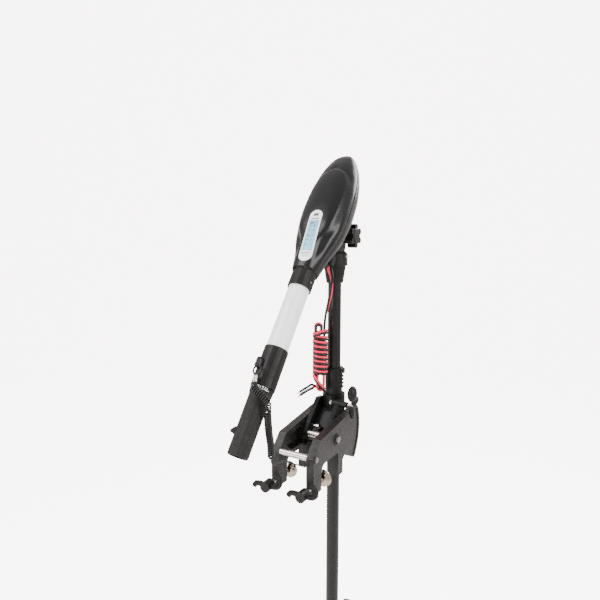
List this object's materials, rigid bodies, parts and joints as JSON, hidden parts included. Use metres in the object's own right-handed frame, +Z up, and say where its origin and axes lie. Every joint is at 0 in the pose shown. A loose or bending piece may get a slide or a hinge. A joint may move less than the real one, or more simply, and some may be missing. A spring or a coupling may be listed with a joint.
{
  "type": "trolling motor",
  "caption": "Transom-mount electric trolling motor with a tilting bracket, a sliding shaft, a twist-grip tiller and a propeller pod.",
  "frame": {"origin": "middle of the saddle that hangs on the transom's top edge, between the two side castings", "axes": "+Z up along the shaft, +Y outboard, -Y inboard where the pilot holds the tiller, +X to the pilot's left as they face aft"},
  "size_m": [0.2151, 0.5244, 1.3268],
  "materials": {
    "black_nylon": "satin",
    "gloss_black": "gloss",
    "pod_paint": "gloss",
    "black_rubber": "matt",
    "cast_alloy": "satin",
    "white_tube": "satin",
    "steel": "polished",
    "copper": "wound",
    "ferrite": "matt",
    "board_green": "satin",
    "label_blue": "printed",
    "lead_red": "satin"
  },
  "bodies": {
    "bracket": {"bracket_cheek_right": "cast_alloy", "bracket_cheek_left": "cast_alloy", "rear_web": "cast_alloy", "front_spacer_tube": "steel", "front_tie_bolt": "steel", "front_tie_nut": "steel", "tilt_pivot_sleeve": "steel", "tilt_pivot_bolt": "steel", "tilt_pivot_nut": "steel"},
    "pad_right": {"clamp_pad_right": "steel"},
    "pad_left": {"clamp_pad_left": "steel"},
    "screw_right": {"clamp_screw_right": "steel", "clamp_handle_right": "black_nylon"},
    "screw_left": {"clamp_screw_left": "steel", "clamp_handle_left": "black_nylon"},
    "carriage": {"tilt_carriage": "cast_alloy", "steering_bush": "black_nylon", "tension_screw": "steel"},
    "tension_wing": {"tension_knob": "black_nylon"},
    "plunger": {"tilt_lock_plunger": "steel"},
    "steering_tube": {"steering_sleeve": "black_nylon", "depth_collar": "black_nylon"},
    "depth_wing": {"depth_knob": "black_nylon"},
    "shaft": {"shaft_tube": "black_nylon", "neck_yoke": "black_nylon", "neck_screw": "steel", "lead_gland": "black_rubber", "motor_housing": "pod_paint", "nose_cone": "pod_paint", "rear_cap": "pod_paint", "magnet_right": "ferrite", "magnet_left": "ferrite", "brush_plate": "black_nylon", "shaft_seal": "black_rubber", "battery_lead_red": "lead_red", "battery_lead_black": "black_rubber", "battery_end_red": "black_rubber", "battery_end_black": "black_rubber", "battery_lead_hank": "lead_red"},
    "rotor": {"armature": "copper", "propeller": "black_nylon", "drive_pin": "steel", "propeller_nut": "steel"},
    "head": {"head_cover_front": "gloss_black", "head_cover_back": "gloss_black", "tiller_collar": "black_nylon", "collar_screw": "steel", "control_board": "board_green", "battery_gauge": "label_blue", "head_tilt_bolt": "steel"},
    "head_wheel": {"head_tilt_knob": "black_nylon"},
    "tiller": {"tiller_tube": "white_tube", "throttle_sleeve": "black_nylon", "throttle_dial": "black_nylon"},
    "grip": {"throttle_grip": "black_rubber", "throttle_spindle": "steel"},
    "key": {"safety_key": "black_nylon", "lanyard_coil": "black_rubber", "lanyard_tail": "black_rubber", "lanyard_crimp": "steel"}
  },
  "joints": [
    {"name": "clamp_slide_right", "type": "slide", "parent": "bracket", "child": "pad_right", "axis": [0, 1, 0], "range_m": [-0.0119, 0.015]},
    {"name": "clamp_turn_right", "type": "hinge", "parent": "pad_right", "child": "screw_right", "pos_m": [0.0394, -0.032, -0.037], "axis": [0, 1, 0], "range_deg": [-1714, 2160.2]},
    {"name": "clamp_slide_left", "type": "slide", "parent": "bracket", "child": "pad_left", "axis": [0, 1, 0], "range_m": [-0.0119, 0.015]},
    {"name": "clamp_turn_left", "type": "hinge", "parent": "pad_left", "child": "screw_left", "pos_m": [-0.0394, -0.032, -0.037], "axis": [0, 1, 0], "range_deg": [-1714, 2160.2]},
    {"name": "tilt", "type": "hinge", "parent": "bracket", "child": "carriage", "pos_m": [0, 0.0206, 0.0306], "axis": [1, 0, 0], "range_deg": [0, 80], "deforming": ["lanyard_tail"]},
    {"name": "tilt_lock", "type": "slide", "parent": "carriage", "child": "plunger", "axis": [-1, 0, 0], "range_m": [0, 0.009]},
    {"name": "tension_turn", "type": "hinge", "parent": "carriage", "child": "tension_wing", "pos_m": [0.057, 0.0705, 0.088], "axis": [1, 0, 0], "continuous": true},
    {"name": "steering", "type": "hinge", "parent": "carriage", "child": "steering_tube", "pos_m": [0, 0.1, 0.1], "axis": [0, 0, 1], "continuous": true},
    {"name": "depth_knob_turn", "type": "hinge", "parent": "steering_tube", "child": "depth_wing", "pos_m": [0, 0.126, 0.144], "axis": [0, 1, 0], "continuous": true},
    {"name": "depth", "type": "slide", "parent": "steering_tube", "child": "shaft", "axis": [0, 0, 1], "range_m": [0, 0.33]},
    {"name": "propeller_turn", "type": "hinge", "parent": "shaft", "child": "rotor", "pos_m": [0, 0.19, -0.6], "axis": [0, 1, 0], "continuous": true},
    {"name": "head_tilt", "type": "hinge", "parent": "shaft", "child": "head", "pos_m": [0, 0.1244, 0.4422], "axis": [-1, 0, 0], "range_deg": [0, 90]},
    {"name": "head_knob_turn", "type": "hinge", "parent": "head", "child": "head_wheel", "pos_m": [0.028, 0.1244, 0.4422], "axis": [1, 0, 0], "continuous": true},
    {"name": "tiller_extension", "type": "slide", "parent": "head", "child": "tiller", "axis": [0, -0.6101, -0.7923], "range_m": [-0.1, 0.035]},
    {"name": "throttle", "type": "hinge", "parent": "tiller", "child": "grip", "pos_m": [0, -0.023, 0.378], "axis": [0, -0.6101, -0.7923], "range_deg": [-90, 90]},
    {"name": "key_release", "type": "slide", "parent": "tiller", "child": "key", "axis": [-0.309, -0.7535, 0.5802], "range_m": [0, 0.012], "deforming": ["lanyard_coil"]}
  ],
  "couplings": [
    {"joint": "clamp_turn_right", "follows": "clamp_slide_right", "rad_per_m": 2513.3},
    {"joint": "clamp_turn_left", "follows": "clamp_slide_left", "rad_per_m": 2513.3}
  ]
}
